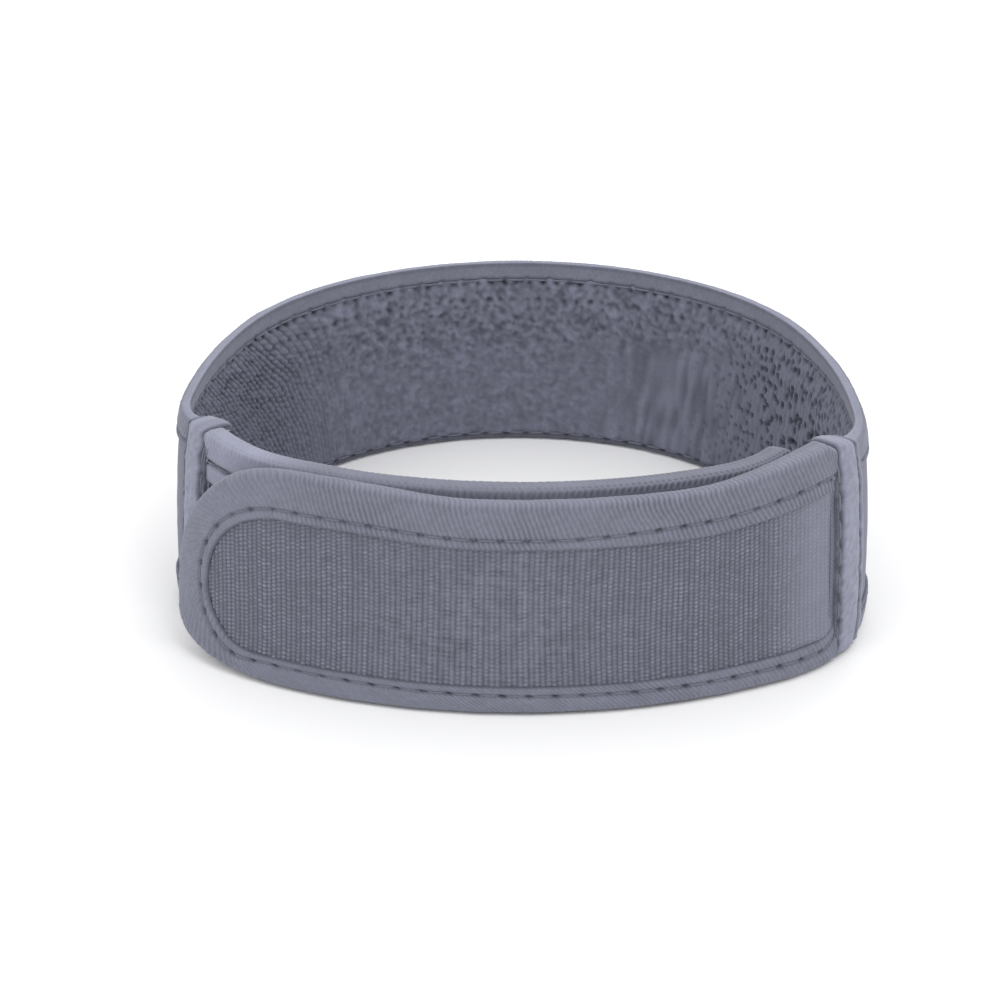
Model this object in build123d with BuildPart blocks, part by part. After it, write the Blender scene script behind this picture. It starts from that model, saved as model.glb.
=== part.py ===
from build123d import *
from math import asin, atan2, cos, degrees, hypot, radians, sin
import os

os.makedirs("parts", exist_ok=True)

# An adjustable fabric wrist strap, standing on its lower edge as a closed ring.
# +Z is the ring's axis, -Y is the front, where the tab closes over the under-strap.
# All sizes are in millimetres.

# Ring plan, measured at the outer face of the fabric
half_width = 36.6
front_depth = 24.0
back_depth = 45.9
front_radius = 55.0
side_radius = 65.0
tab_tip_radius = 21.0
turn_in_start = 4.0
turn_in_radius = 10.0
turn_in_heading = 300.0
seam_radius = 60.0

# Heights
band_top = 22.0
seam_top = 22.45
tab_bottom = 0.2
tab_top = 22.4
under_bottom = 0.3
under_top = 22.2

# Layers
shell_thickness = 0.7
lining_thickness = 1.3
tape_thickness = 0.35
seam_tape_thickness = 0.45
face_tape_thickness = 0.8
hook_tape_thickness = 0.8
loop_tape_thickness = 0.6
backing_thickness = 1.2
strap_gap = 0.5
body_gap = 0.3

# Widths of what shows of each tape
binding_width = 3.2
tab_binding_width = 3.8
seam_width = 5.7

# Free ends
tab_tip_heading = -64.0
tab_top_corner = 15.5
tab_bottom_corner = 5.5
under_end_radius = 13.4
under_end_start = 24.0
under_end_heading = 70.0
under_corner = 5.0
corner_cut_margin = 3.0
corner_cut_depth = 6.0
right_seam_heading = 49.0

# Stitches
stitch_length = 2.7
stitch_pitch = 3.6
thread_radius = 0.17
stitch_edge = 0.9

# Ground snap
snap_height = 11.0
patch_side = 12.0
patch_thickness = 0.5
flange_radius = 3.6
flange_thickness = 0.5
stud_neck_radius = 1.65
stud_neck_length = 1.3
stud_head_radius = 2.0
stud_head_length = 1.5
stud_round = 0.45
rivet_radius = 1.2
rivet_clearance = 0.02
rivet_reach = 1.9
cap_radius = 4.0
cap_thickness = 0.45
cap_clearance = 0.1

# The origin is under the middle of the ring's bounding box, so the widest line
# stands in front of or behind it by half the difference of the two depths.
flange_seat = back_depth + patch_thickness - 0.25
stud_tip = flange_seat + flange_thickness + stud_neck_length + stud_head_length
widest_y = (front_depth + tape_thickness - stud_tip) / 2

# Each stretch of a path is an arc: centre, radius, heading at its start and at its end.
# Headings are in degrees from +X, turning anticlockwise, so the centre is on the left
# and a positive shift moves a face outwards.
front_centre = (0, widest_y + front_radius - front_depth)
corner_radius = (
    (front_radius**2 - half_width**2 - (front_radius - front_depth) ** 2)
    / (2 * (front_radius - half_width))
)
corner_x = half_width - corner_radius
corner_heading = degrees(atan2(corner_x, front_radius - front_depth))
back_radius = (
    (2 * half_width * side_radius - half_width**2 - back_depth**2)
    / (2 * (side_radius - back_depth))
)
side_turn = degrees(asin((back_depth - back_radius) / (side_radius - back_radius)))


def spot(arc, heading, shift=0.0):
    """The plan point of an arc at a heading, moved outwards by shift."""
    centre, radius = arc[0], arc[1] + shift
    return (
        centre[0] + radius * sin(radians(heading)),
        centre[1] - radius * cos(radians(heading)),
    )


def tangent_arc(arc, radius, end_heading):
    """The arc of a radius that carries on from the end of another arc."""
    heading = arc[3]
    x, y = spot(arc, heading)
    centre = (x - radius * sin(radians(heading)), y + radius * cos(radians(heading)))
    return (centre, radius, heading, end_heading)


def arc_centre_inside(centre, radius, small_radius, heading):
    """The centre of a smaller arc that leaves a larger one at a heading."""
    return spot((centre, radius - small_radius), heading)


right_corner = ((corner_x, widest_y), corner_radius, corner_heading, 90)
right_side = ((half_width - side_radius, widest_y), side_radius, 90, 90 + side_turn)
back_arc = (
    (0, widest_y + back_depth - back_radius),
    back_radius,
    90 + side_turn,
    270 - side_turn,
)
left_side = (
    (side_radius - half_width, widest_y),
    side_radius,
    270 - side_turn,
    270 - degrees(asin(turn_in_start / side_radius)),
)
turn_in = tangent_arc(left_side, turn_in_radius, turn_in_heading)
left_seam = tangent_arc(
    turn_in, seam_radius, turn_in_heading + degrees((seam_width + 1.0) / seam_radius)
)
right_seam = (right_corner[0], corner_radius, right_seam_heading, 90)
band_path = [right_seam, right_side, back_arc, left_side, turn_in, left_seam]

# The under-strap carries on from the left seam and joins the front arc, inside the tab.
under_front_radius = (
    front_radius
    - face_tape_thickness
    - hook_tape_thickness
    - tape_thickness
    - strap_gap
    - tape_thickness
)
start_heading = left_seam[3] - 360 + degrees(body_gap / seam_radius)
start_x, start_y = spot(left_seam, start_heading)
to_start = (start_x - front_centre[0], start_y - front_centre[1])
inward = (-sin(radians(start_heading)), cos(radians(start_heading)))
lean = inward[0] * to_start[0] + inward[1] * to_start[1]
under_left_radius = (under_front_radius**2 - hypot(*to_start) ** 2) / (
    2 * (lean + under_front_radius)
)
under_left_centre = (
    start_x + under_left_radius * inward[0],
    start_y + under_left_radius * inward[1],
)
under_join = degrees(
    atan2(under_left_centre[0] - front_centre[0], front_centre[1] - under_left_centre[1])
)
under_path = [
    (under_left_centre, under_left_radius, start_heading, under_join),
    (front_centre, under_front_radius, under_join, under_end_start),
    (
        arc_centre_inside(front_centre, under_front_radius, under_end_radius, under_end_start),
        under_end_radius,
        under_end_start,
        under_end_heading,
    ),
]

# The tab runs from its round tip at the left to the right seam.
tab_end_heading = right_seam_heading - degrees(body_gap / corner_radius)
tab_path = [
    (
        arc_centre_inside(front_centre, front_radius, tab_tip_radius, -corner_heading),
        tab_tip_radius,
        tab_tip_heading,
        -corner_heading,
    ),
    (front_centre, front_radius, -corner_heading, corner_heading),
    (right_corner[0], corner_radius, corner_heading, tab_end_heading),
]


def arc_length(arc):
    return arc[1] * radians(arc[3] - arc[2])


def path_length(path):
    return sum(arc_length(arc) for arc in path)


def locate(path, distance):
    """The arc and heading that lie a distance along a path."""
    for arc in path:
        if distance <= arc_length(arc) or arc is path[-1]:
            return arc, arc[2] + degrees(distance / arc[1])
        distance -= arc_length(arc)


def part_of(path, start, end):
    """The stretch of a path between two distances along it."""
    kept = []
    for arc in path:
        low = max(start, 0.0)
        high = min(end, arc_length(arc))
        if high > low:
            kept.append(
                (arc[0], arc[1], arc[2] + degrees(low / arc[1]), arc[2] + degrees(high / arc[1]))
            )
        start -= arc_length(arc)
        end -= arc_length(arc)
    return kept


def layer(path, outer, inner, bottom, top):
    """A layer that follows a path between two shifts and two heights."""
    first, last = path[0], path[-1]
    with BuildPart() as solid:
        with BuildSketch(Plane.XY.offset(bottom)):
            with BuildLine():
                for centre, radius, start, end in path:
                    CenterArc(centre, radius + outer, start - 90, end - start)
                    CenterArc(centre, radius + inner, start - 90, end - start)
                Line(spot(first, first[2], outer), spot(first, first[2], inner))
                Line(spot(last, last[3], outer), spot(last, last[3], inner))
            make_face()
        extrude(amount=top - bottom)
    return solid.part


def rounded_layer(path, outer, inner, bottom, top, corners, at_start):
    """A layer with one free end, its bottom and top corners rounded off."""
    length = path_length(path)
    ahead = -1 if at_start else 1
    with BuildPart() as solid:
        add(layer(path, outer, inner, bottom, top))
        for height, radius, side in ((bottom, corners[0], -1), (top, corners[1], 1)):
            distance = radius if at_start else length - radius
            plane = stitch_plane(path, distance, height - side * radius, 0)
            reach = radius + corner_cut_margin
            with BuildSketch(plane.offset(-corner_cut_depth)):
                with Locations((ahead * reach / 2, side * reach / 2)):
                    Rectangle(reach, reach)
                Circle(radius, mode=Mode.SUBTRACT)
            extrude(amount=2 * corner_cut_depth, mode=Mode.SUBTRACT)
    return solid.part


def stitch_plane(path, distance, height, shift, climb=0.0):
    """A plane on a face of a path: x runs along the stitch, z points outwards."""
    arc, heading = locate(path, distance)
    x, y = spot(arc, heading, shift)
    along = Vector(cos(radians(heading)), sin(radians(heading)), 0)
    direction = along * cos(radians(climb)) + Vector(0, 0, sin(radians(climb)))
    outward = (sin(radians(heading)), -cos(radians(heading)), 0)
    return Plane(origin=(x, y, height), x_dir=direction, z_dir=outward)


def run_planes(path, height, shift, start, end):
    """Planes for a straight run of stitches at one height."""
    count = int((end - start) / stitch_pitch)
    step = (end - start) / count
    return [
        stitch_plane(path, start + step * (index + 0.5), height, shift)
        for index in range(count)
    ]


def column_planes(path, distance, shift, bottom, top):
    """Planes for an upright column of stitches, or none where it is too short for one."""
    count = int((top - bottom) / stitch_pitch)
    step = (top - bottom) / max(count, 1)
    return [
        stitch_plane(path, distance, bottom + step * (index + 0.5), shift, 90)
        for index in range(count)
    ]


def corner_planes(path, shift, corner_distance, corner_height, radius, start, end):
    """Planes for stitches that turn round a corner, between two angles in degrees."""
    count = max(2, round(radius * radians(abs(end - start)) / stitch_pitch))
    planes = []
    for index in range(count):
        angle = start + (end - start) * (index + 0.5) / count
        distance = corner_distance + radius * cos(radians(angle))
        height = corner_height + radius * sin(radians(angle))
        planes.append(stitch_plane(path, distance, height, shift, angle + 90))
    return planes


def stitches(planes):
    """One short length of thread lying on each plane."""
    with BuildPart() as threads:
        with Locations(*planes):
            Cylinder(thread_radius, stitch_length, rotation=(0, 90, 0))
    return threads.part


# Back band: outer shell, conductive lining, and tape folded over both edges
band_length = path_length(band_path)
band_inner = -shell_thickness - lining_thickness
back_middle = spot(back_arc, 180)
snap_plane = Plane(
    origin=(0, widest_y + flange_seat, snap_height), x_dir=(-1, 0, 0), z_dir=(0, 1, 0)
)
cap_seat = -cap_thickness - (
    flange_seat
    - (back_depth - back_radius)
    - ((back_radius - shell_thickness) ** 2 - cap_radius**2) ** 0.5
)

with BuildPart() as back_shell:
    add(layer(band_path, 0, -shell_thickness, tape_thickness, band_top - tape_thickness))
    with BuildSketch(snap_plane.offset(-4)):
        Circle(rivet_radius + rivet_clearance)
    extrude(amount=8, mode=Mode.SUBTRACT)
back_shell.part.label = "back_shell"
export_step(back_shell.part, "parts/back_shell.step")

with BuildPart() as back_lining:
    add(
        layer(
            band_path, -shell_thickness, band_inner, tape_thickness, band_top - tape_thickness
        )
    )
    with BuildSketch(snap_plane.offset(cap_seat)):
        Circle(cap_radius + cap_clearance)
    extrude(amount=4, mode=Mode.SUBTRACT)
back_lining.part.label = "back_lining"
export_step(back_lining.part, "parts/back_lining.step")


def edge_tape(path, outer, inner, bottom, top, folded_at_top):
    """Tape folded over one long edge of a layered strap."""
    core_bottom = bottom - 1 if folded_at_top else bottom + tape_thickness
    core_top = top - tape_thickness if folded_at_top else top + 1
    with BuildPart() as tape:
        add(layer(path, outer + tape_thickness, inner - tape_thickness, bottom, top))
        add(layer(path, outer, inner, core_bottom, core_top), mode=Mode.SUBTRACT)
    return tape.part


with BuildPart() as back_top_binding:
    add(edge_tape(band_path, 0, band_inner, band_top - binding_width, band_top, True))
back_top_binding.part.label = "back_top_binding"
export_step(back_top_binding.part, "parts/back_top_binding.step")

with BuildPart() as back_bottom_binding:
    add(edge_tape(band_path, 0, band_inner, 0, binding_width, False))
back_bottom_binding.part.label = "back_bottom_binding"
export_step(back_bottom_binding.part, "parts/back_bottom_binding.step")


def band_stitching(height):
    """Both faces of a row of stitches that holds the binding to the band."""
    start, end = seam_width + 0.5, band_length - seam_width - 0.5
    outer_face, inner_face = tape_thickness, band_inner - tape_thickness
    return stitches(
        run_planes(band_path, height, outer_face, start, end)
        + run_planes(band_path, height, inner_face, start, end)
    )


with BuildPart() as back_top_stitching:
    add(band_stitching(band_top - binding_width + stitch_edge))
back_top_stitching.part.label = "back_top_stitching"
export_step(back_top_stitching.part, "parts/back_top_stitching.step")

with BuildPart() as back_bottom_stitching:
    add(band_stitching(binding_width - stitch_edge))
back_bottom_stitching.part.label = "back_bottom_stitching"
export_step(back_bottom_stitching.part, "parts/back_bottom_stitching.step")

# Seam tapes: each folds over the top edge and closes one end of the band
seam_outer = tape_thickness
seam_inner = band_inner - tape_thickness


def seam_tape(path):
    outer, inner = seam_outer + seam_tape_thickness, seam_inner - seam_tape_thickness
    with BuildPart() as tape:
        add(layer(path, outer, inner, 0, seam_top))
        add(layer(path, seam_outer, seam_inner, -1, band_top), mode=Mode.SUBTRACT)
    return tape.part


def seam_stitching(path):
    """Two upright rows of stitches, seen on both faces of a seam tape."""
    rows = (stitch_edge, seam_width - stitch_edge)
    faces = (seam_outer + seam_tape_thickness, seam_inner - seam_tape_thickness)
    planes = [
        plane
        for row in rows
        for face in faces
        for plane in column_planes(path, row, face, 1.0, band_top - 1.0)
    ]
    return stitches(planes)


right_seam_path = part_of(band_path, 0, seam_width)
left_seam_path = part_of(band_path, band_length - seam_width, band_length)

with BuildPart() as right_seam_tape:
    add(seam_tape(right_seam_path))
right_seam_tape.part.label = "right_seam_tape"
export_step(right_seam_tape.part, "parts/right_seam_tape.step")

with BuildPart() as left_seam_tape:
    add(seam_tape(left_seam_path))
left_seam_tape.part.label = "left_seam_tape"
export_step(left_seam_tape.part, "parts/left_seam_tape.step")

with BuildPart() as right_seam_stitching:
    add(seam_stitching(right_seam_path))
right_seam_stitching.part.label = "right_seam_stitching"
export_step(right_seam_stitching.part, "parts/right_seam_stitching.step")

with BuildPart() as left_seam_stitching:
    add(seam_stitching(left_seam_path))
left_seam_stitching.part.label = "left_seam_stitching"
export_step(left_seam_stitching.part, "parts/left_seam_stitching.step")

# Tab: woven face outside, hook tape inside, and tape bound round its three free edges
tab_length = path_length(tab_path)
tab_inner = -face_tape_thickness - hook_tape_thickness
tab_core_path = part_of(tab_path, tape_thickness, tab_length)
tab_window_path = part_of(tab_path, tab_binding_width, tab_length + 1)
tab_core_bottom = tab_bottom + tape_thickness
tab_core_top = tab_top - tape_thickness
tab_corners = (tab_bottom_corner, tab_top_corner)
tab_core_corners = (tab_bottom_corner - tape_thickness, tab_top_corner - tape_thickness)
tab_window_corners = (
    max(tab_bottom_corner - tab_binding_width, 3.0),
    tab_top_corner - tab_binding_width,
)

with BuildPart() as tab_face_tape:
    add(
        rounded_layer(
            tab_core_path,
            0,
            -face_tape_thickness,
            tab_core_bottom,
            tab_core_top,
            tab_core_corners,
            True,
        )
    )
tab_face_tape.part.label = "tab_face_tape"
export_step(tab_face_tape.part, "parts/tab_face_tape.step")

with BuildPart() as tab_hook_tape:
    add(
        rounded_layer(
            tab_core_path,
            -face_tape_thickness,
            tab_inner,
            tab_core_bottom,
            tab_core_top,
            tab_core_corners,
            True,
        )
    )
tab_hook_tape.part.label = "tab_hook_tape"
export_step(tab_hook_tape.part, "parts/tab_hook_tape.step")

with BuildPart() as tab_binding:
    add(
        rounded_layer(
            tab_path,
            tape_thickness,
            tab_inner - tape_thickness,
            tab_bottom,
            tab_top,
            tab_corners,
            True,
        )
    )
    add(
        rounded_layer(
            tab_core_path, 0, tab_inner, tab_core_bottom, tab_core_top, tab_core_corners, True
        ),
        mode=Mode.SUBTRACT,
    )
    add(
        rounded_layer(
            tab_window_path,
            tape_thickness + 1,
            tab_inner - tape_thickness - 1,
            tab_bottom + tab_binding_width,
            tab_top - tab_binding_width,
            tab_window_corners,
            True,
        ),
        mode=Mode.SUBTRACT,
    )
tab_binding.part.label = "tab_binding"
export_step(tab_binding.part, "parts/tab_binding.step")


def free_end_planes(path, faces, bottom, top, corners, width, at_start):
    """Stitches along both edges and round the free end of a bound strap."""
    length = path_length(path)
    inset = width - stitch_edge
    low, high = bottom + inset, top - inset
    turns = [radius - inset for radius in corners]
    planes = []
    for face in faces:
        for height, turn, quarter in ((low, turns[0], 270), (high, turns[1], 90)):
            turn = max(turn, 1.5)
            middle_height = height + turn if height == low else height - turn
            from_end = inset + turn
            if at_start:
                planes += run_planes(path, height, face, from_end, length - 1.0)
                corner = (from_end, middle_height, turn, quarter, 180)
            else:
                planes += run_planes(path, height, face, 1.0, length - from_end)
                last = 360 if quarter == 270 else 0
                corner = (length - from_end, middle_height, turn, quarter, last)
            planes += corner_planes(path, face, *corner)
        reach = inset if at_start else length - inset
        planes += column_planes(
            path, reach, face, low + max(turns[0], 1.5), high - max(turns[1], 1.5)
        )
    return planes


with BuildPart() as tab_edge_stitching:
    add(
        stitches(
            free_end_planes(
                tab_path,
                (tape_thickness, tab_inner - tape_thickness),
                tab_bottom,
                tab_top,
                tab_corners,
                tab_binding_width,
                True,
            )
        )
    )
tab_edge_stitching.part.label = "tab_edge_stitching"
export_step(tab_edge_stitching.part, "parts/tab_edge_stitching.step")

# Under-strap: loop tape outside, soft backing inside, and tape bound round its free edges
under_length = path_length(under_path)
under_inner = -loop_tape_thickness - backing_thickness
under_core_path = part_of(under_path, 0, under_length - tape_thickness)
under_window_path = part_of(under_path, -1, under_length - binding_width)
under_core_bottom = under_bottom + tape_thickness
under_core_top = under_top - tape_thickness
under_corners = (under_corner, under_corner)
under_core_corners = (under_corner - tape_thickness, under_corner - tape_thickness)
under_window_corners = (under_corner - binding_width, under_corner - binding_width)

with BuildPart() as under_strap_loop_tape:
    add(
        rounded_layer(
            under_core_path,
            0,
            -loop_tape_thickness,
            under_core_bottom,
            under_core_top,
            under_core_corners,
            False,
        )
    )
under_strap_loop_tape.part.label = "under_strap_loop_tape"
export_step(under_strap_loop_tape.part, "parts/under_strap_loop_tape.step")

with BuildPart() as under_strap_backing:
    add(
        rounded_layer(
            under_core_path,
            -loop_tape_thickness,
            under_inner,
            under_core_bottom,
            under_core_top,
            under_core_corners,
            False,
        )
    )
under_strap_backing.part.label = "under_strap_backing"
export_step(under_strap_backing.part, "parts/under_strap_backing.step")

with BuildPart() as under_strap_binding:
    add(
        rounded_layer(
            under_path,
            tape_thickness,
            under_inner - tape_thickness,
            under_bottom,
            under_top,
            under_corners,
            False,
        )
    )
    add(
        rounded_layer(
            under_core_path,
            0,
            under_inner,
            under_core_bottom,
            under_core_top,
            under_core_corners,
            False,
        ),
        mode=Mode.SUBTRACT,
    )
    add(
        rounded_layer(
            under_window_path,
            tape_thickness + 1,
            under_inner - tape_thickness - 1,
            under_bottom + binding_width,
            under_top - binding_width,
            under_window_corners,
            False,
        ),
        mode=Mode.SUBTRACT,
    )
under_strap_binding.part.label = "under_strap_binding"
export_step(under_strap_binding.part, "parts/under_strap_binding.step")

with BuildPart() as under_strap_stitching:
    add(
        stitches(
            free_end_planes(
                under_path,
                (tape_thickness, under_inner - tape_thickness),
                under_bottom,
                under_top,
                under_corners,
                binding_width,
                False,
            )
        )
    )
under_strap_stitching.part.label = "under_strap_stitching"
export_step(under_strap_stitching.part, "parts/under_strap_stitching.step")

# Ground snap: a stud outside the back of the band, riveted through a woven patch to a
# cap that lies hidden against the conductive lining
back_start = arc_length(right_seam) + arc_length(right_side)
patch_centre = back_start + arc_length(back_arc) / 2
patch_path = part_of(
    band_path, patch_centre - patch_side / 2, patch_centre + patch_side / 2
)

with BuildPart() as snap_patch:
    add(
        layer(
            patch_path,
            patch_thickness,
            0,
            snap_height - patch_side / 2,
            snap_height + patch_side / 2,
        )
    )
    with BuildSketch(snap_plane.offset(-2)):
        Circle(rivet_radius + rivet_clearance)
    extrude(amount=4, mode=Mode.SUBTRACT)
    with BuildSketch(snap_plane):
        Circle(flange_radius)
    extrude(amount=2, mode=Mode.SUBTRACT)
snap_patch.part.label = "snap_patch"
export_step(snap_patch.part, "parts/snap_patch.step")

with BuildPart() as snap_stud:
    with BuildSketch(snap_plane):
        Circle(flange_radius)
    extrude(amount=flange_thickness)
    with BuildSketch(snap_plane.offset(flange_thickness)):
        Circle(stud_neck_radius)
    extrude(amount=stud_neck_length)
    with BuildSketch(snap_plane.offset(flange_thickness + stud_neck_length)):
        Circle(stud_head_radius)
    extrude(amount=stud_head_length)
    fillet(snap_stud.edges().sort_by(Axis.Y)[-1], stud_round)
    with BuildSketch(snap_plane):
        Circle(rivet_radius + rivet_clearance)
    extrude(amount=rivet_reach + rivet_clearance, mode=Mode.SUBTRACT)
snap_stud.part.label = "snap_stud"
export_step(snap_stud.part, "parts/snap_stud.step")

with BuildPart() as snap_rivet_cap:
    with BuildSketch(snap_plane.offset(cap_seat)):
        Circle(cap_radius)
    extrude(amount=cap_thickness)
    with BuildSketch(snap_plane.offset(cap_seat + cap_thickness)):
        Circle(rivet_radius)
    extrude(amount=rivet_reach - cap_seat - cap_thickness)
snap_rivet_cap.part.label = "snap_rivet_cap"
export_step(snap_rivet_cap.part, "parts/snap_rivet_cap.step")

tab_pivot = spot(tab_path[-1], tab_end_heading, tape_thickness)
under_pivot = spot(under_path[0], start_heading, under_inner - tape_thickness)
print("tab pivot", [round(value, 3) for value in tab_pivot])
print("under-strap pivot", [round(value, 3) for value in under_pivot])
print("stud head", round(snap_plane.origin.Y + flange_thickness + stud_neck_length, 3))
print("widest line at y", round(widest_y, 3))
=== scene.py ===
import math

import bpy
import numpy as np
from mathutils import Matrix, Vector


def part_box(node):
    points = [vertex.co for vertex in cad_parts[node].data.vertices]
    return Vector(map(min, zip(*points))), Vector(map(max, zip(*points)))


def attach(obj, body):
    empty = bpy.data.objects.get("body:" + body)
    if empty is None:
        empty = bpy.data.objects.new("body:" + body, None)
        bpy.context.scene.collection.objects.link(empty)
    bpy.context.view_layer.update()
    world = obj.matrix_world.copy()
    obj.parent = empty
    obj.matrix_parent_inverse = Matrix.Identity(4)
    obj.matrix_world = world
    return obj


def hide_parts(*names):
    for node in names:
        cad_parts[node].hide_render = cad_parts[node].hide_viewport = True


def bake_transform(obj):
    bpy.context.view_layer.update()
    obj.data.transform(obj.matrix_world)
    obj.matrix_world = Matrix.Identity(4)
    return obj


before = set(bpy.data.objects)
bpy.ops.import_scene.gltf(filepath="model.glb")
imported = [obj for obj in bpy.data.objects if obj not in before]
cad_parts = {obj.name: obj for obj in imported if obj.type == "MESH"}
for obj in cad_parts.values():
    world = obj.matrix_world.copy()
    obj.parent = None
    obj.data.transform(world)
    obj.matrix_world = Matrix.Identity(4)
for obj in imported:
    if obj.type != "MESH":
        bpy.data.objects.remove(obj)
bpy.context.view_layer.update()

# Lengths are in millimetres, and become metres where a mesh is made.
MM = 0.001
SEED = 7

# Plan of the ring, at the outer face of its fabric, as in the CAD source
HALF_WIDTH = 36.6
FRONT_DEPTH = 24.0
BACK_DEPTH = 45.9
FRONT_RADIUS = 55.0
SIDE_RADIUS = 65.0
TIP_RADIUS = 21.0
TIP_HEADING = -64.0
TURN_IN_START = 4.0
TURN_IN_RADIUS = 10.0
TURN_IN_HEADING = 300.0
SEAM_RADIUS = 60.0
RIGHT_SEAM_HEADING = 49.0
SEAM_WIDTH = 5.7
BODY_GAP = 0.3
UNDER_END_RADIUS = 13.4
UNDER_END_START = 24.0
UNDER_END_HEADING = 70.0
WIDEST_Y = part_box("back_shell")[1].y / MM - BACK_DEPTH

# Layers, as shifts outwards from that face
SHELL_INNER = -0.7
BAND_INNER = -2.0
TAB_FACE_INNER = -0.8
TAB_INNER = -1.6
UNDER_LOOP_INNER = -0.6
UNDER_INNER = -1.8
UNDER_RADIUS = 52.2
TAPE = 0.35
SEAM_TAPE = 0.45

# Heights
MIDDLE = 11.0
BAND_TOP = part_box("back_top_binding")[1].z / MM
SEAM_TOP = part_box("right_seam_tape")[1].z / MM
UNDER_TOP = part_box("under_strap_binding")[1].z / MM
TAB_TOP = 22.7
LOWEST = 0.1
FLARE = 0.05

# Sewing
STITCH_PITCH = 2.6
STITCH_GAP = 0.5
STITCH_CREASE = 0.18
STITCH_DIP = 0.30
THREAD = 0.13


# ------------ small helpers

def smooth(x, low, high):
    """Rises smoothly from 0 at low to 1 at high."""
    share = np.clip((np.asarray(x, float) - low) / (high - low), 0, 1)
    return share * share * (3 - 2 * share)


def bump(x, centre, reach):
    """A smooth hump, 1 at centre and 0 past reach."""
    return smooth(reach - np.abs(np.asarray(x, float) - centre), 0, reach)


def bell(x, centre, width):
    """A bell shape, 1 at centre."""
    return np.exp(-((x - centre) / width) ** 2)


def crest(phase):
    """Round ridges, one per unit of phase: 1 on a crest and 0 in a gap."""
    return np.sqrt(0.5 + 0.5 * np.cos(2 * np.pi * phase))


def lattice(column, row, seed):
    """A fixed random number from 0 to 1 for each whole column and row."""
    table = np.random.default_rng(SEED + seed).random((97, 89))
    return table[np.mod(column, 97), np.mod(row, 89)]


def plain_noise(u, v, seed):
    """Smooth noise from -1 to 1, about one bump per unit."""
    column, row = np.floor(u).astype(int), np.floor(v).astype(int)
    fu, fv = smooth(u - column, 0, 1), smooth(v - row, 0, 1)
    low = lattice(column, row, seed) * (1 - fu) + lattice(column + 1, row, seed) * fu
    high = lattice(column, row + 1, seed) * (1 - fu) + lattice(column + 1, row + 1, seed) * fu
    return 2 * (low * (1 - fv) + high * fv) - 1


def noise(u, v, seed):
    """Two layers of smooth noise at an angle to each other, so that no grid shows."""
    u, v = np.broadcast_arrays(np.asarray(u, float), np.asarray(v, float))
    turned = plain_noise(0.8 * u - 0.6 * v + 40, 0.6 * u + 0.8 * v + 40, seed)
    other = plain_noise(0.4 * u + 0.92 * v + 60, 0.4 * v - 0.92 * u + 60, seed + 500)
    return 0.75 * (turned + other)


def cells(u, v, seed):
    """Distances to the nearest of scattered points, one per unit square, and a random number
    for that point."""
    column, row = np.floor(u).astype(int), np.floor(v).astype(int)
    nearest = np.full(u.shape, 9.0)
    chosen = np.zeros(u.shape)
    for i in (-1, 0, 1):
        for j in (-1, 0, 1):
            x = column + i + 0.15 + 0.7 * lattice(column + i, row + j, seed)
            y = row + j + 0.15 + 0.7 * lattice(column + i, row + j, seed + 1)
            distance = np.hypot(u - x, v - y)
            nearer = distance < nearest
            chosen = np.where(nearer, lattice(column + i, row + j, seed + 2), chosen)
            nearest = np.where(nearer, distance, nearest)
    return nearest, chosen


# ------------ paths in plan

def spot(arc, heading, shift=0.0):
    """The plan point of an arc at a heading in degrees, moved outwards by shift."""
    (x, y), radius = arc[0], arc[1] + shift
    angle = math.radians(heading)
    return (x + radius * math.sin(angle), y - radius * math.cos(angle))


def tangent_arc(arc, radius, end_heading):
    """The arc of a radius that carries on from the end of another arc."""
    angle = math.radians(arc[3])
    x, y = spot(arc, arc[3])
    centre = (x - radius * math.sin(angle), y + radius * math.cos(angle))
    return (centre, radius, arc[3], end_heading)


def inside_arc(arc, radius, heading, start, end):
    """A smaller arc inside another, touching it at a heading."""
    return (spot((arc[0], arc[1] - radius), heading), radius, start, end)


def arc_length(arc):
    return arc[1] * math.radians(arc[3] - arc[2])


def path_length(arcs):
    return sum(arc_length(arc) for arc in arcs)


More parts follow.
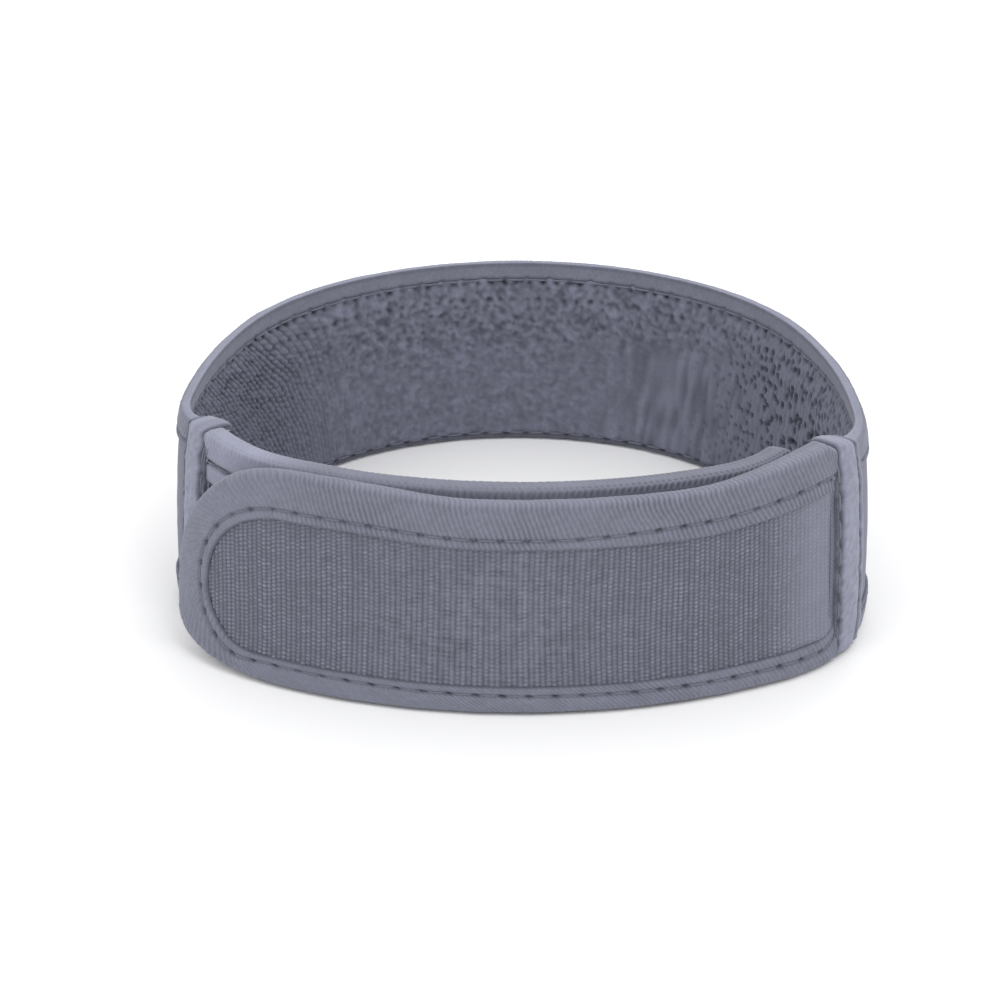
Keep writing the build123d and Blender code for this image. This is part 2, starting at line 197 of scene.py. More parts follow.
def make_paths():
    """The arcs of the band, the tab and the under-strap. Each arc is its centre, its radius
    and the headings at its two ends."""
    front_centre = (0, WIDEST_Y + FRONT_RADIUS - FRONT_DEPTH)
    corner_radius = (
        (FRONT_RADIUS**2 - HALF_WIDTH**2 - (FRONT_RADIUS - FRONT_DEPTH) ** 2)
        / (2 * (FRONT_RADIUS - HALF_WIDTH))
    )
    corner_x = HALF_WIDTH - corner_radius
    corner_heading = math.degrees(math.atan2(corner_x, FRONT_RADIUS - FRONT_DEPTH))
    back_radius = (
        (2 * HALF_WIDTH * SIDE_RADIUS - HALF_WIDTH**2 - BACK_DEPTH**2)
        / (2 * (SIDE_RADIUS - BACK_DEPTH))
    )
    side_turn = math.degrees(math.asin((BACK_DEPTH - back_radius) / (SIDE_RADIUS - back_radius)))
    corner = (corner_x, WIDEST_Y)
    front = (front_centre, FRONT_RADIUS, -corner_heading, corner_heading)
    left_end = 270 - math.degrees(math.asin(TURN_IN_START / SIDE_RADIUS))
    back_centre = (0, WIDEST_Y + BACK_DEPTH - back_radius)

    band = [
        (corner, corner_radius, RIGHT_SEAM_HEADING, 90),
        ((HALF_WIDTH - SIDE_RADIUS, WIDEST_Y), SIDE_RADIUS, 90, 90 + side_turn),
        (back_centre, back_radius, 90 + side_turn, 270 - side_turn),
        ((SIDE_RADIUS - HALF_WIDTH, WIDEST_Y), SIDE_RADIUS, 270 - side_turn, left_end),
    ]
    band.append(tangent_arc(band[-1], TURN_IN_RADIUS, TURN_IN_HEADING))
    seam_turn = math.degrees((SEAM_WIDTH + 1.0) / SEAM_RADIUS)
    band.append(tangent_arc(band[-1], SEAM_RADIUS, TURN_IN_HEADING + seam_turn))

    tab_end = RIGHT_SEAM_HEADING - math.degrees(BODY_GAP / corner_radius)
    tab = [
        inside_arc(front, TIP_RADIUS, -corner_heading, TIP_HEADING, -corner_heading),
        front,
        (corner, corner_radius, corner_heading, tab_end),
    ]

    start_heading = band[-1][3] - 360 + math.degrees(BODY_GAP / SEAM_RADIUS)
    start = Vector(spot(band[-1], start_heading))
    to_start = start - Vector(front_centre)
    angle = math.radians(start_heading)
    inward = Vector((-math.sin(angle), math.cos(angle)))
    left_radius = (UNDER_RADIUS**2 - to_start.length_squared) / (
        2 * (inward.dot(to_start) + UNDER_RADIUS)
    )
    left_centre = start + left_radius * inward
    to_left = left_centre - Vector(front_centre)
    join = math.degrees(math.atan2(to_left.x, -to_left.y))
    under_front = (front_centre, UNDER_RADIUS, join, UNDER_END_START)
    under = [
        (tuple(left_centre), left_radius, start_heading, join),
        under_front,
        inside_arc(
            under_front, UNDER_END_RADIUS, UNDER_END_START, UNDER_END_START, UNDER_END_HEADING
        ),
    ]
    return band, tab, under


BAND, TAB, UNDER = make_paths()
BAND_LENGTH = path_length(BAND)
TAB_LENGTH = path_length(TAB)
UNDER_LENGTH = path_length(UNDER)

# How much taller the strap is where it is folded and sewn: at the tab's tip, where the tab
# meets the right seam, along the back and along the under-strap
TIP_SWELL = 0.95
SEAM_SWELL = 1.6
BACK_SWELL = 0.25
UNDER_SWELL = 0.65

# How much of their depth the pressed edges lose, and how far the cloth leaves its plan
# curve: its sides bulge, its sewn edges draw in, and the tab stands off at foot and tip
TAB_PRESS = 0.62
BACK_PRESS = 0.64
BELLY = 0.35
EDGE_DRAW = 0.3
TAB_FOOT_OUT = 0.3
TAB_TIP_OUT = 0.4


def swell(arcs, distance):
    """How much taller a strap is at distances along it."""
    if arcs is TAB:
        tip = smooth(distance, 0, 10) * (1 - smooth(distance, 22, 36))
        return TIP_SWELL * tip + SEAM_SWELL * smooth(distance, 58, TAB_LENGTH)
    if arcs is BAND:
        return (SEAM_SWELL * (1 - smooth(distance, -2, 9))
                + BACK_SWELL * smooth(distance, 5, 25) * smooth(BAND_LENGTH - distance, 5, 25))
    return UNDER_SWELL * smooth(distance, 3, 16)


def squeeze(arcs, distance, height):
    """The share of their depth that the layers keep: the sewn edges are pressed thin."""
    if arcs is TAB:
        loose = smooth(distance, 56, 73)
        edge = smooth(height, 18, 22) + 0.9 * (1 - smooth(height, 0.5, 4))
        tip = 1 - smooth(distance, 1, 6)
        return 1 - TAB_PRESS * (1 - loose) * np.clip(edge + tip, 0, 1)
    if arcs is BAND:
        thin = smooth(distance, 2, 12) * smooth(BAND_LENGTH - distance, 2, 9)
        return 1 - BACK_PRESS * thin * smooth(height, 16, 21.5)
    return 1.0


def lean(arcs, distance, height):
    """How far the cloth stands out from its plan curve."""
    if arcs is BAND:
        side = 1 - smooth(np.minimum(distance, BAND_LENGTH - distance), 15, 50)
        edges = 1 - smooth(height, 0, 3.5) + smooth(height, 18.5, BAND_TOP)
        return (FLARE * side * (MIDDLE - height) - EDGE_DRAW * side * edges
                + BELLY * side * np.sin(np.pi * np.clip(height / BAND_TOP, 0, 1)))
    if arcs is TAB:
        return (FLARE * (MIDDLE - height) + TAB_FOOT_OUT * (1 - smooth(height, 0, 5))
                + TAB_TIP_OUT * (1 - smooth(distance, 3, 12)))
    return FLARE * (MIDDLE - height)


def place(arcs, distance, height, shift):
    """Points at distances along a path, at heights and shifts outwards, in millimetres. A
    path may run past its ends."""
    distance, height, shift = np.broadcast_arrays(
        np.asarray(distance, float), np.asarray(height, float), np.asarray(shift, float)
    )
    starts = np.concatenate([[0], np.cumsum([arc_length(arc) for arc in arcs])[:-1]])
    index = np.clip(np.searchsorted(starts, distance, side="right") - 1, 0, len(arcs) - 1)
    table = np.array([(*arc[0], arc[1], math.radians(arc[2])) for arc in arcs], float)
    x, y, radius, start = np.moveaxis(table[index], -1, 0)
    heading = start + (distance - starts[index]) / radius
    shift = np.where(shift < 0, shift * squeeze(arcs, distance, height), shift)
    reach = radius + shift + lean(arcs, distance, height)
    height = height * (1 + swell(arcs, distance) / BAND_TOP)
    return np.stack([x + reach * np.sin(heading), y - reach * np.cos(heading), height], -1)


# ------------ meshes

def make_piece(name, points, faces, material, cloth, painted_shade, sharp=75):
    """A mesh object from points in millimetres. cloth holds each point's place on its cloth,
    and painted_shade is how much painted shade darkens its colour, between the yarns and in
    creases and holes, with some random tone mixed in: about 0 to 1, and below 0 where its
    colour is painted paler."""
    mesh = bpy.data.meshes.new(name)
    mesh.from_pydata((points * MM).tolist(), [], faces)
    if signed_volume(mesh) < 0:
        mesh.flip_normals()
    mesh.attributes.new("cloth", "FLOAT_VECTOR", "POINT").data.foreach_set(
        "vector", np.column_stack([cloth, np.zeros(len(cloth))]).ravel()
    )
    # The painted_shade attribute carries painted shade, and painted paler colour where it is below
    # 0
    mesh.attributes.new("painted_shade", "FLOAT", "POINT").data.foreach_set("value", painted_shade)
    mesh.polygons.foreach_set("use_smooth", np.ones(len(mesh.polygons), bool))
    mesh.set_sharp_from_angle(angle=math.radians(sharp))
    mesh.materials.append(material)
    piece = bpy.data.objects.new(name, mesh)
    bpy.context.scene.collection.objects.link(piece)
    return piece


def signed_volume(mesh):
    """Six times the volume of a closed mesh, below 0 where its faces point inwards."""
    mesh.calc_loop_triangles()
    corners = np.zeros(len(mesh.loop_triangles) * 3, int)
    mesh.loop_triangles.foreach_get("vertices", corners)
    points = np.zeros(len(mesh.vertices) * 3)
    mesh.vertices.foreach_get("co", points)
    a, b, c = points.reshape(-1, 3)[corners.reshape(-1, 3)].transpose(1, 0, 2)
    return float((a * np.cross(b, c)).sum())


def steps(length, step, coarse):
    """How many points a side takes, so that its steps divide into coarse ones."""
    return coarse * max(1, math.ceil(length / (step * coarse))) + 1


def rim(rows, columns):
    """Indices round the border of a grid of points, in order."""
    index = np.arange(rows * columns).reshape(rows, columns)
    return np.concatenate([index[:-1, 0], index[-1, :-1], index[:0:-1, -1], index[0, :0:-1]])


def quads(rows, columns, first=0):
    """The faces of a grid of points whose first index is first."""
    index = first + np.arange(rows * columns).reshape(rows, columns)
    return np.stack(
        [index[:-1, :-1], index[1:, :-1], index[1:, 1:], index[:-1, 1:]], -1
    ).reshape(-1, 4)


def slab(name, front, back, material, cloth, painted_shade, coarse):
    """A closed solid between a finely divided front and a back whose grid is coarser. cloth
    is a pair: how far each point lies along the cloth, and how far across it."""
    rows, columns = front.shape[:2]
    back = back[::coarse, ::coarse]
    count = rows * columns
    faces = quads(rows, columns).tolist()
    faces += quads(*back.shape[:2], first=count)[:, ::-1].tolist()
    outer = rim(rows, columns)
    inner = rim(*back.shape[:2]) + count
    for i in range(len(inner)):
        fine = outer[np.arange(i * coarse, (i + 1) * coarse + 1) % len(outer)]
        faces.append([inner[i], inner[(i + 1) % len(inner)], *fine[::-1]])
    faces = [[int(corner) for corner in face] for face in faces]
    points = np.concatenate([front.reshape(-1, 3), back.reshape(-1, 3)])
    flat = np.stack(np.broadcast_arrays(*cloth), -1)
    deep = np.broadcast_to(painted_shade, (rows, columns))
    cloth = np.concatenate([flat.reshape(-1, 2), flat[::coarse, ::coarse].reshape(-1, 2)])
    painted_shade = np.concatenate([deep.ravel(), deep[::coarse, ::coarse].ravel()])
    return make_piece(name, points, faces, material, cloth, painted_shade)


def tubes(name, centres, outward, radius, material, sides):
    """Round strands along lines of points, closed at both ends: centres holds one line per
    strand, and radius one number per point of a line."""
    strands, count = centres.shape[:2]
    along = np.gradient(centres, axis=1)
    along /= np.linalg.norm(along, axis=-1, keepdims=True)
    across = np.cross(along, outward)
    across /= np.linalg.norm(across, axis=-1, keepdims=True)
    up = np.cross(across, along)
    angle = 2 * np.pi * np.arange(sides) / sides
    wide = np.asarray(radius)[None, :, None, None]
    points = centres[:, :, None] + wide * (
        np.cos(angle)[None, None, :, None] * across[:, :, None]
        + np.sin(angle)[None, None, :, None] * up[:, :, None]
    )
    index = np.arange(strands * count * sides).reshape(strands, count, sides)
    turned = np.roll(index, -1, axis=2)
    walls = np.stack([index[:, :-1], index[:, 1:], turned[:, 1:], turned[:, :-1]], -1)
    faces = walls.reshape(-1, 4).tolist()
    faces += index[:, 0, :].tolist()
    faces += index[:, -1, ::-1].tolist()
    strand = np.broadcast_to(np.arange(strands)[:, None, None], index.shape)
    run = np.broadcast_to(np.arange(count)[None, :, None], index.shape)
    cloth = np.stack([strand.ravel() * 3.7 + run.ravel() * 0.4, run.ravel() * 0.4], -1)
    return make_piece(
        name, points.reshape(-1, 3), faces, material, cloth, np.zeros(len(cloth)), sharp=60
    )


# ------------ curves on the cloth

def bound_end(left, bottom, top, low, high, end, counts):
    """The outline of a strap with one rounded end, as (distance from its tip, height) points:
    along the bottom to the tip, round it, and back along the top. low and high are how far
    each corner reaches along and up. counts divide its five stretches, so that two such
    curves match point by point."""
    quarter = [np.linspace(0, np.pi / 2, n + 1)[1:] for n in counts]
    parts = [np.column_stack([np.linspace(end, left + low[0], counts[0] + 1),
                              np.full(counts[0] + 1, bottom)])]
    angle = quarter[1]
    parts.append(np.column_stack([left + low[0] * (1 - np.sin(angle)),
                                  bottom + low[1] * (1 - np.cos(angle))]))
    rise = np.linspace(bottom + low[1], top - high[1], counts[2] + 1)[1:]
    parts.append(np.column_stack([np.full(counts[2], left), rise]))
    angle = quarter[3]
    parts.append(np.column_stack([left + high[0] * (1 - np.cos(angle)),
                                  top - high[1] * (1 - np.sin(angle))]))
    run = np.linspace(left + high[0], end, counts[4] + 1)[1:]
    parts.append(np.column_stack([run, np.full(counts[4], top)]))
    return np.concatenate(parts)


def fallback(z, middle, half, depth, power):
    """How far a rounded tip falls back at heights z: by depth, at half from the middle."""
    return depth * np.abs((z - middle) / half) ** power


def run_length(curve):
    """Distances along a curve of points."""
    return np.concatenate([[0], np.cumsum(np.linalg.norm(np.diff(curve, axis=0), axis=1))])


def stitch_line(edge, margin, inset):
    """The curve that runs inset inside a margin, between it and the edge."""
    width = np.linalg.norm(margin - edge, axis=1)
    return edge + (margin - edge) * (1 - inset / width)[:, None]


def boxed(angle):
    """Cosine and sine of an angle, pushed out towards the corners of a square."""
    cosine, sine = np.cos(angle), np.sin(angle)
    return np.sign(cosine) * np.abs(cosine) ** 0.6, np.abs(sine) ** 0.6


def fold_tape(name, arcs, edge, front, back, faces, material, relief, inset, tape=TAPE,
              fine=0.2, coarse=4, nose=0.7, back_inset=0.8):
    """Tape folded over an edge of a strap. edge, front and back are matching curves of
    (distance, height): the fold, and where the tape ends on each face. faces are the shifts
    of the two faces that it covers. relief(along, inward, row, pitch, across) gives how far
    its surface stands proud, and its painted shade; across runs round the fold, below 0 on
    the front. Stitches run inset inside its margin. Along its cut edges it gets painted shade."""
    outer, inner = faces
    centre, half = (outer + inner) / 2, (outer - inner) / 2 + tape
    line = run_length(stitch_line(edge, front, inset))
    pitch = line[-1] / max(1, int(line[-1] / STITCH_PITCH))
    widths = [np.linalg.norm(side - edge, axis=1) for side in (front, back)]
    flats = [steps(float(np.median(width)) - nose, fine, coarse) - 1 for width in widths]
    bends = steps(math.pi / 2 * (half + nose) / 1.6, fine, coarse) - 1
    angles = np.concatenate([
        np.zeros(flats[0]), np.linspace(0, math.pi, bends + 1), np.full(flats[1], math.pi)
    ])
    shares = np.concatenate([
        np.linspace(1, 0, flats[0] + 1)[:-1], np.zeros(bends + 1),
        np.linspace(0, 1, flats[1] + 1)[1:]
    ])
    front_side = (angles < math.pi / 2)[None]
    width = np.where(front_side, widths[0][:, None], widths[1][:, None])
    wide, deep = boxed(angles)
    flat = np.where(shares > 0, np.sign(wide), 0)[None]
    inward = nose * (1 - deep)[None] + 0 * width
    inward = np.where(shares[None] > 0, nose + shares[None] * (width - nose), inward)
    toward = np.where(
        front_side[..., None], (front - edge)[:, None], (back - edge)[:, None]
    ) / width[..., None]
    lip = smooth(1 - shares, 0.0, 0.3 / float(np.median(widths[0])))[None]
    across = -half * wide[None] - flat * (inward - nose)
    insets = np.where(front_side, np.broadcast_to(inset, len(edge))[:, None], back_inset)
    proud, painted_shade = relief(line[:, None], inward, width - insets, pitch, across)
    normal_in, normal_out = -np.sin(angles)[None], np.cos(angles)[None]
    skin = tape * (lip - 1) + proud * lip
    shift = centre + half * wide[None] + skin * normal_out
    depth = inward + skin * normal_in
    thick = np.maximum(0.05, (tape - 0.03) * lip)
    base_shift = shift - thick * normal_out
    base_depth = depth - thick * normal_in

    def points(depths, shifts):
        spread = edge[:, None] + toward * depths[..., None]
        return place(arcs, spread[..., 0], spread[..., 1], shifts)

    # About the last 0.3 mm of tape at each margin gets strong painted shade, where its cut edge
    # meets the cloth below
    return slab(
        name, points(depth, shift), points(base_depth, base_shift), material,
        (line[:, None], across + 50.0), painted_shade * lip + 0.9 * (1 - lip), coarse
    )


def sewn_tape(rib=0.54, slant=0.3, height=0.08, puff=0.10, inside=0.3, dark=0.7, edge=0.0,
              strength=lambda along: 1.0, seed=0):
    """The relief of a ribbed tape with a row of stitches that draw it in, with painted shade
    between its ribs (dark says how much), in its stitch line and in its stitch holes. inside
    is how much of the ribbing shows on the inner face, strength how much along its length,
    and edge how strong a painted highlight along its folded edge is."""
    def relief(along, inward, row, pitch, across):
        show = strength(along)
        grain = noise(along / 0.45, across / 0.4, seed + 3)
        line = bell(inward, row, 0.20)
        stitch = np.round(along / pitch).astype(int)
        pulled = 0.4 + 0.6 * lattice(stitch, stitch * 0, seed + 5)
        near_hole = along / pitch - stitch
        hole = pulled * np.exp(-((inward - row) / 0.24) ** 2 - (near_hole * pitch / 0.30) ** 2)
        phase = along / rib + slant * across / rib + 0.3 * noise(along / 4, across / 2, seed)
        ribs = crest(phase)
        soft = show * (0.7 + 0.3 * noise(along / 5, across / 3, seed + 1)) * np.where(
            across < 0, 1, inside)
        swelled = puff * np.sin(np.pi * np.clip(inward / row, 0, 1))
        wave = 0.04 * noise(along / 3, across / 2.5, seed + 2)
        sunk = STITCH_CREASE * line + 0.3 * hole + 0.05 * smooth(inward, row - 0.2, row + 0.2)
        proud = height * soft * (ribs - 0.6) + swelled + wave - sunk + 0.02 * grain
        # Painted shade between the ribs, along the stitch line and in the stitch holes, with a
        # little random tone from the grain
        painted_shade = dark * (1 - ribs) * soft + 0.08 * (1 + grain)
        painted_shade = painted_shade + 0.5 * line * (0.6 + 0.4 * pulled) + 0.75 * hole
        # pale is a painted highlight along the folded edge, on the front face
        pale = edge * show * (1 - smooth(inward, 0.05, 0.7)) * (across < 0)
        return proud, np.clip(painted_shade, 0, 1) - pale
    return relief


def stitch_row(name, arcs, rows):
    """Stitches along curves on a strap. Each row is a curve of (distance, height) and the
    shift at which its threads lie, with its outward side: 1, or -1 on the inner face."""
    shape = np.linspace(-1, 1, 9)
    lines, sides = [], []
    for curve, shift, outward in rows:
        total = run_length(curve)
        count = max(1, int(total[-1] / STITCH_PITCH))
        pitch = total[-1] / count
        middle = (np.arange(count) + 0.5) * pitch
        at = middle[:, None] + shape[None] * (pitch - STITCH_GAP) / 2
        distance = np.interp(at, total, curve[:, 0])
        height = np.interp(at, total, curve[:, 1])
        dip = shift - outward * STITCH_DIP * np.abs(shape[None]) ** 4
        line = place(arcs, distance, height, dip)
        lines.append(line)
        sides.append(outward * (place(arcs, distance, height, dip + 1) - line))
    width = THREAD * np.sqrt(np.clip(1 - 0.7 * np.abs(shape) ** 3, 0.1, 1))
    return tubes(name, np.concatenate(lines), np.concatenate(sides), width, SHADED_THREADS, sides=8)


# ------------ materials

GREY = (0.190, 0.197, 0.252)
LINING_GREY = (0.186, 0.194, 0.256)
SHEEN_TINT = (0.8, 0.82, 0.9)
BLOTCH = 0.12
WEAVE_PITCH = 0.5


def new_node(tree, kind, inputs=(), **settings):
    """A shader node with its inputs set or linked by name or index."""
    made = tree.nodes.new(kind)
    for key, value in settings.items():
        setattr(made, key, value)
    for key, value in dict(inputs).items():
        if isinstance(value, bpy.types.NodeSocket):
            tree.links.new(value, made.inputs[key])
        else:
            made.inputs[key].default_value = value
    return made


def maths(tree, operation, first, second=0.0):
    return new_node(
        tree, "ShaderNodeMath", {0: first, 1: second}, operation=operation
    ).outputs["Value"]


def scaled(tree, value, by, plus):
    return maths(tree, "ADD", maths(tree, "MULTIPLY", value, by), plus)


def vector_maths(tree, operation, inputs):
    return new_node(
        tree, "ShaderNodeVectorMath", inputs, operation=operation
    ).outputs["Vector"]


def speckle(tree, where, scale, detail):
    return new_node(
        tree, "ShaderNodeTexNoise", {"Vector": where, "Scale": scale, "Detail": detail}
    ).outputs["Fac"]


def new_material(name):
    """A material, its node tree and its shader."""
    material = bpy.data.materials.new(name)
    material.use_nodes = True
    return material, material.node_tree, material.node_tree.nodes["Principled BSDF"]


def tint(tree, shader, colour, factor):
    """Makes the shader's colour a fixed one times a factor."""
    tinted = vector_maths(tree, "SCALE", {0: colour, "Scale": factor})
    tree.links.new(tinted, shader.inputs["Base Color"])


def roughen(tree, shader, rough, relief, strength, distance):
    """Links the shader's roughness, and bumps up to a distance in millimetres."""
    tree.links.new(rough, shader.inputs["Roughness"])
    bumps = new_node(
        tree, "ShaderNodeBump",
        {"Height": relief, "Strength": strength, "Distance": distance * MM},
    )
    tree.links.new(bumps.outputs["Normal"], shader.inputs["Normal"])


def fabric(name, colour, dark=0.5, stretch=(1, 1), fibre=7.0, fibre_depth=0.25, weave=0.0,
           roughness=0.9, sheen=0.2):
    """Matt cloth. Painted shade darkens it between the yarns, as much as each mesh's
    painted_shade attribute says times dark, and it varies in blotches and along its fibres.
    weave adds a fine plain weave where the mesh has none, with painted shade where it is low."""
    material, tree, shader = new_material(name)
    shader.inputs["Sheen Weight"].default_value = sheen
    shader.inputs["Sheen Roughness"].default_value = 0.45
    shader.inputs["Sheen Tint"].default_value = (*SHEEN_TINT, 1)
    shader.inputs["Specular IOR Level"].default_value = 0.25
    cloth = new_node(tree, "ShaderNodeAttribute", attribute_name="cloth").outputs["Vector"]
    painted_shade = new_node(tree, "ShaderNodeAttribute", attribute_name="painted_shade").outputs["Fac"]
    drawn = vector_maths(tree, "MULTIPLY", {0: cloth, 1: (*stretch, 1)})
    fibres = speckle(tree, drawn, fibre, 3.0)
    patches = speckle(tree, cloth, 0.35, 2.0)
    # Painted shade from the mesh's painted_shade attribute, scaled by dark
    shade = maths(tree, "SUBTRACT", 1.0, maths(tree, "MULTIPLY", painted_shade, dark))
    lively = scaled(tree, fibres, 2 * fibre_depth, 1 - fibre_depth)
    uneven = scaled(tree, patches, 2 * BLOTCH, 1 - BLOTCH)
    relief = fibres
    if weave:
        turns = vector_maths(tree, "SCALE", {0: cloth, "Scale": 2 * math.pi / WEAVE_PITCH})
        split = new_node(tree, "ShaderNodeSeparateXYZ", {0: turns})
        warp, weft = (maths(tree, "SINE", split.outputs[axis]) for axis in ("X", "Y"))
        woven = scaled(tree, maths(tree, "MULTIPLY", warp, weft), 0.5, 0.5)
        # The weave darkens the colour where it is low: painted shade between its yarns
        lively = maths(tree, "MULTIPLY", lively, scaled(tree, woven, weave, 1 - weave))
        relief = scaled(tree, fibres, 0.5, woven)
    factor = maths(tree, "MULTIPLY", maths(tree, "MULTIPLY", shade, lively), uneven)
    tint(tree, shader, colour, factor)
    roughen(tree, shader, scaled(tree, fibres, 0.12, roughness - 0.06), relief, 0.5, 0.06)
    return material


def metal(name, colour, roughness):
    """Plated metal with faint turning marks and small scuffs."""
    material, tree, shader = new_material(name)
    shader.inputs["Metallic"].default_value = 1.0
    where = new_node(tree, "ShaderNodeTexCoord").outputs["Object"]
    scuffs = speckle(tree, where, 900.0, 4.0)
    marks = speckle(tree, where, 5000.0, 2.0)
    tint(tree, shader, colour, scaled(tree, scuffs, 0.2, 0.88))
    roughen(tree, shader, scaled(tree, scuffs, 0.25, roughness - 0.12), marks, 0.15, 0.02)
    return material


def shade_of(share, base=GREY):
    return tuple(share * value for value in base)


# dark sets how strongly painted shade darkens each cloth
BINDING = fabric("binding_tape", shade_of(1.0), dark=0.6, stretch=(1, 0.35), fibre=6)
SEAM_CLOTH = fabric("seam_tape", shade_of(1.42), dark=0.8, fibre=5)
FACE = fabric("face_weave", shade_of(1.16), dark=0.7, fibre=6)
HOOKS = fabric("hook_tape", shade_of(0.75), dark=0.5, roughness=0.6, sheen=0.05)
LOOPS = fabric("loop_tape", shade_of(0.8), dark=0.5, sheen=0.4)
MESH_BACKING = fabric("backing_mesh", shade_of(1.05), dark=0.75)
LINING = fabric("lining_knit", shade_of(0.87, LINING_GREY), dark=0.7, fibre=3,
                fibre_depth=0.15)
SHELL = fabric("shell_fabric", shade_of(0.95), weave=0.35)
PATCH = fabric("patch_webbing", shade_of(0.7), dark=0.6)
# The thread is the grey darkened as painted shade, for the grooves that it lies sunk in
SHADED_THREADS = fabric("thread", shade_of(0.8), stretch=(1, 6), fibre=2.0)
NICKEL = metal("snap_metal", (0.55, 0.54, 0.52), 0.3)


# ------------ the tab

TAB_END = TAB_LENGTH + 0.6
TAB_BEND = 17.0
TAB_COUNTS = (520, 130, 24, 160, 490)
TAB_BACK_INSET = 0.9


def along_top(curve, low, high):
    """Rises along the upper half of a curve from 0 at distance low to 1 at high."""
    return smooth(curve[:, 0], low, high) * (curve[:, 1] > MIDDLE)


def along_foot(curve, low, high):
    """Rises along the lower half of a curve from 0 at distance low to 1 at high."""
    return smooth(curve[:, 0], low, high) * (curve[:, 1] < MIDDLE)


# The binding's fold, and its margins on the face and on the back. At the right seam the top
# of the fold dips under the seam tape, and the lower margin rises.
TAB_EDGE = bound_end(0.6, LOWEST, TAB_TOP, (15.5, 4.2), (16.5, 15.5), TAB_END, TAB_COUNTS)
TAB_EDGE[:, 1] -= 0.7 * along_top(TAB_EDGE, TAB_END - 1.5, TAB_END)
TAB_MARGIN = bound_end(6.1, 2.8, 17.5, (6, 6), (10, 8.6), TAB_END, TAB_COUNTS)
TAB_INSET = 1.15 + 0.55 * along_top(TAB_MARGIN, 43, 60)
TAB_MARGIN[:, 1] += 1.3 * along_foot(TAB_MARGIN, 72, 76) ** 2
TAB_BACK_MARGIN = bound_end(4.4, 3.6, 18.7, (8, 6), (13, 12), TAB_END, TAB_COUNTS)


def panel_relief(s, z):
    """Upright beaded ribs, with short crossing bars in the middle of the tab. The weave is
    drawn smooth beside the right seam. Its colour gets painted shade in the gaps between ribs
    and beads and a painted highlight on their crests, with some random flecks and mottle."""
    pitch, bead = 0.56, 0.42
    phase = s / pitch + 0.25 * noise(s / 9, z / 9, 31)
    rib = np.round(phase).astype(int)
    ridge = crest(phase)
    strong = 0.7 + 0.35 * lattice(rib, rib * 0, 32) + 0.25 * (np.mod(rib, 4) == 0)
    beads = 0.5 + 0.5 * np.cos(2 * np.pi * (z / bead + 0.5 * np.mod(rib, 2)
                                            + 0.5 * lattice(rib, rib * 0, 33)
                                            + 0.3 * noise(s / 1.5, z / 1.5, 38)))
    bars = (0.5 + 0.5 * np.cos(2 * np.pi * z / 0.5)) * crest(s / 1.5 + 0.2 * noise(s, z, 35))
    middle = 0.75 * bump(s, 37, 24) * (0.75 + 0.25 * noise(s / 5, z / 4, 36))
    mottle = 0.5 + 0.5 * noise(s / 0.8, z / 0.5, 34)
    flecks = 0.7 + 0.4 * noise(s / 0.5, z / 0.4, 37)
    lively = (0.3 + 0.7 * ridge) * (0.35 + 0.65 * beads * strong * flecks) * (1 - middle)
    lively = lively + middle * (0.35 * bars + 0.3 * ridge + 0.3 * mottle)
    calm = 1 - 0.6 * smooth(s, 65, 73)
    proud = -0.22 + 0.26 * (0.5 + (lively - 0.5) * calm) + 0.25 * smooth(s, 71.5, 74)
    # Painted shade where the weave is low, and a painted highlight (below 0) on its crests
    return proud, np.clip((0.9 - lively) * 1.25 * calm, -0.3, 1)


def tab_ribs(along):
    """The binding is ribbed most along the top and least round the tip."""
    return 0.6 - 0.3 * bump(along, 80, 18) + 0.4 * smooth(along, 88, 102)


def tab_grid(left, bottom, top, columns, rows, *fall):
    """Distances and heights of a grid of points inside the tab's binding, and the distances
    at its tip, which falls back as fall says."""
    z = np.linspace(bottom, top, rows)[None]
    tip = left + fallback(z, *fall)
    return tip + np.linspace(0, 1, columns)[:, None] * (TAB_END - 0.2 - tip), z, tip


def make_tab():
    coarse = 6
    bottom, top, left = 1.6, 18.9, 4.2
    columns, rows = steps(TAB_END - left, 0.11, coarse), steps(top - bottom, 0.13, coarse)
    s, z, tip = tab_grid(left, bottom, top, columns, rows, 9.3, 9.3, 5.2, 3.2)
    proud, painted_shade = panel_relief(s, z)
    clear = smooth(z, bottom, bottom + 1) * (1 - smooth(z, top - 1, top))
    clear = clear * smooth(s - tip, 0, 1.2)
    front = place(TAB, s, z, proud - 0.25 * (1 - clear))
    back = place(TAB, s, z, TAB_FACE_INNER)
    face = slab("tab_woven_face", front, back, FACE, (s, z), painted_shade, coarse)
    finish_tab(face, "tab_face_tape")

    # edge=0.4 paints a highlight along the binding's folded edge
    relief = sewn_tape(slant=0.5, dark=0.95, edge=0.4, seed=40, strength=tab_ribs)
    bound = fold_tape("tab_bound_edge", TAB, TAB_EDGE, TAB_MARGIN, TAB_BACK_MARGIN,
                      (0, TAB_INNER), BINDING, relief, TAB_INSET, fine=0.15, coarse=5)
    finish_tab(bound, "tab_binding")

    front_row = stitch_line(TAB_EDGE, TAB_MARGIN, TAB_INSET)
    back_row = stitch_line(TAB_EDGE, TAB_BACK_MARGIN, TAB_BACK_INSET)
    seam = stitch_row("tab_stitches", TAB,
                      [(front_row, TAPE - 0.17, 1), (back_row, TAB_INNER - TAPE + 0.1, -1)])
    finish_tab(seam, "tab_edge_stitching")
    make_hook_tape()


def finish_tab(piece, node):
    """Bakes the piece's transform and hides the CAD part that it replaces. The tab's path
    itself follows the band at the right seam and turns into the tab.
    """
    start = place(TAB, TAB_LENGTH, MIDDLE, 0) * MM
    end = place(TAB, TAB_LENGTH - TAB_BEND, MIDDLE, 0) * MM
    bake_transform(piece)
    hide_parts(node)


